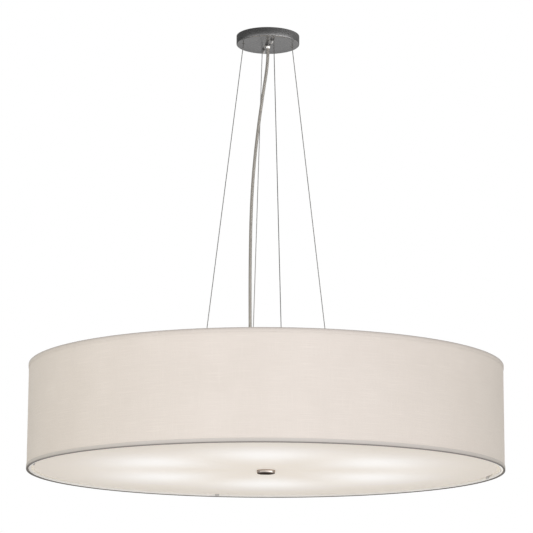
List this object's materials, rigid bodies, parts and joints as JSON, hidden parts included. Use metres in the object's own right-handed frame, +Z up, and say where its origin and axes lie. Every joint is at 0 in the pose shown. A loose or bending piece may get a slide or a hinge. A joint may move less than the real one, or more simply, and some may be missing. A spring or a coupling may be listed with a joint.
{
  "type": "drum chandelier",
  "caption": "Ceiling chandelier with a round fabric drum shade closed below by a frosted diffuser, hung on steel cables and a cord from a round canopy.",
  "frame": {"origin": "on the ceiling plane, at the centre of the upper face of the mounting bar", "axes": "+Z straight up into the ceiling along the chandelier's centre line; -Y towards the viewer of the picture; +X to that viewer's right"},
  "size_m": [0.9144, 0.9144, 0.8836],
  "materials": {
    "zinc_plated_steel": "zinc plated, satin",
    "brushed_nickel": "brushed nickel plate",
    "polished_nickel": "polished nickel plate",
    "cable_steel": "stranded galvanised steel",
    "frame_steel": "white powder coat",
    "white_enamel": "satin white enamel",
    "porcelain": "glazed white",
    "shade_fabric": "plain weave linen blend",
    "hem_trim": "folded fabric tape",
    "styrene_liner": "matt white",
    "frosted_acrylic": "frosted",
    "lamp_globe": "opal, satin",
    "cord_jacket": "clear jacket over a braided shield",
    "wire_insulation": "black"
  },
  "bodies": {
    "ceiling_mount": {"mounting_bar": "zinc_plated_steel", "ceiling_screw_1": "zinc_plated_steel", "ceiling_screw_2": "zinc_plated_steel", "canopy_cover": "brushed_nickel", "canopy_stud_1": "zinc_plated_steel", "canopy_stud_2": "zinc_plated_steel", "ball_nut_1": "polished_nickel", "ball_nut_2": "polished_nickel", "cable_gripper_1": "brushed_nickel", "cable_gripper_2": "brushed_nickel", "cable_gripper_3": "brushed_nickel", "cable_gripper_4": "brushed_nickel", "cord_grip": "brushed_nickel", "cord_grip_nut": "zinc_plated_steel", "power_cord": "cord_jacket", "wire_connector": "wire_insulation"},
    "pendant": {"rod_nut_upper": "zinc_plated_steel", "rod_nut_lower": "zinc_plated_steel", "centre_rod": "zinc_plated_steel", "pan_cord_grip": "brushed_nickel", "cable_anchor_1": "brushed_nickel", "cable_anchor_2": "brushed_nickel", "cable_anchor_3": "brushed_nickel", "cable_anchor_4": "brushed_nickel", "top_ring": "frame_steel", "bottom_ring": "frame_steel", "spider_arm_1": "frame_steel", "spider_arm_2": "frame_steel", "spider_arm_3": "frame_steel", "spider_arm_4": "frame_steel", "shade_strut_1": "frame_steel", "shade_strut_2": "frame_steel", "shade_strut_3": "frame_steel", "shade_strut_4": "frame_steel", "lamp_pan": "white_enamel", "pan_lid": "white_enamel", "stop_nut": "white_enamel", "lamp_socket_1": "porcelain", "lamp_socket_2": "porcelain", "lamp_socket_3": "porcelain", "lamp_socket_4": "porcelain", "lamp_socket_5": "porcelain", "lamp_socket_6": "porcelain", "shade_fabric": "shade_fabric", "top_trim": "hem_trim", "bottom_trim": "hem_trim", "shade_liner": "styrene_liner", "wiring_harness": "wire_insulation"},
    "suspension_cable_1": {"cable_1": "cable_steel"},
    "suspension_cable_2": {"cable_2": "cable_steel"},
    "suspension_cable_3": {"cable_3": "cable_steel"},
    "suspension_cable_4": {"cable_4": "cable_steel"},
    "diffuser_disc": {"diffuser": "frosted_acrylic"},
    "finial_knob": {"knob": "brushed_nickel"},
    "bulb_1": {"lamp_1": "lamp_globe"},
    "bulb_2": {"lamp_2": "lamp_globe"},
    "bulb_3": {"lamp_3": "lamp_globe"},
    "bulb_4": {"lamp_4": "lamp_globe"},
    "bulb_5": {"lamp_5": "lamp_globe"},
    "bulb_6": {"lamp_6": "lamp_globe"}
  },
  "joints": [
    {"name": "pendant_swing", "type": "hinge", "parent": "ceiling_mount", "child": "pendant", "pos_m": [0, 0, 0.40001], "axis": [0, 1, 0], "range_deg": [-3, 3], "deforming": ["power_cord"]},
    {"name": "cable_1_swing", "type": "hinge", "parent": "ceiling_mount", "child": "suspension_cable_1", "pos_m": [0.04821, 0.01166, -0.018], "axis": [0, 1, 0], "range_deg": [-4.85, 4.85]},
    {"name": "cable_2_swing", "type": "hinge", "parent": "ceiling_mount", "child": "suspension_cable_2", "pos_m": [-0.01166, 0.04821, -0.018], "axis": [0, 1, 0], "range_deg": [-4.85, 4.85]},
    {"name": "cable_3_swing", "type": "hinge", "parent": "ceiling_mount", "child": "suspension_cable_3", "pos_m": [-0.04821, -0.01166, -0.018], "axis": [0, 1, 0], "range_deg": [-4.85, 4.85]},
    {"name": "cable_4_swing", "type": "hinge", "parent": "ceiling_mount", "child": "suspension_cable_4", "pos_m": [0.01166, -0.04821, -0.018], "axis": [0, 1, 0], "range_deg": [-4.85, 4.85]},
    {"name": "diffuser_lower", "type": "slide", "parent": "pendant", "child": "diffuser_disc", "axis": [0, 0, -1], "range_m": [0, 0.0042]},
    {"name": "knob_turn", "type": "hinge", "parent": "diffuser_disc", "child": "finial_knob", "pos_m": [0, 0, -0.8702], "axis": [0, 0, -1], "range_deg": [0, 1609]},
    {"name": "lamp_1_unscrew", "type": "slide", "parent": "pendant", "child": "bulb_1", "axis": [0.866, 0.5, 0], "range_m": [0, 0.0255]},
    {"name": "lamp_2_unscrew", "type": "slide", "parent": "pendant", "child": "bulb_2", "axis": [0, 1, 0], "range_m": [0, 0.0255]},
    {"name": "lamp_3_unscrew", "type": "slide", "parent": "pendant", "child": "bulb_3", "axis": [-0.866, 0.5, 0], "range_m": [0, 0.0255]},
    {"name": "lamp_4_unscrew", "type": "slide", "parent": "pendant", "child": "bulb_4", "axis": [-0.866, -0.5, 0], "range_m": [0, 0.0255]},
    {"name": "lamp_5_unscrew", "type": "slide", "parent": "pendant", "child": "bulb_5", "axis": [0, -1, 0], "range_m": [0, 0.0255]},
    {"name": "lamp_6_unscrew", "type": "slide", "parent": "pendant", "child": "bulb_6", "axis": [0.866, -0.5, 0], "range_m": [0, 0.0255]}
  ],
  "couplings": [
    {"joint": "cable_1_swing", "follows": "pendant_swing", "ratio": 1.5997},
    {"joint": "cable_2_swing", "follows": "pendant_swing", "ratio": 1.5997},
    {"joint": "cable_3_swing", "follows": "pendant_swing", "ratio": 1.5997},
    {"joint": "cable_4_swing", "follows": "pendant_swing", "ratio": 1.5997},
    {"joint": "knob_turn", "follows": "diffuser_lower", "rad_per_m": 6684.5}
  ]
}
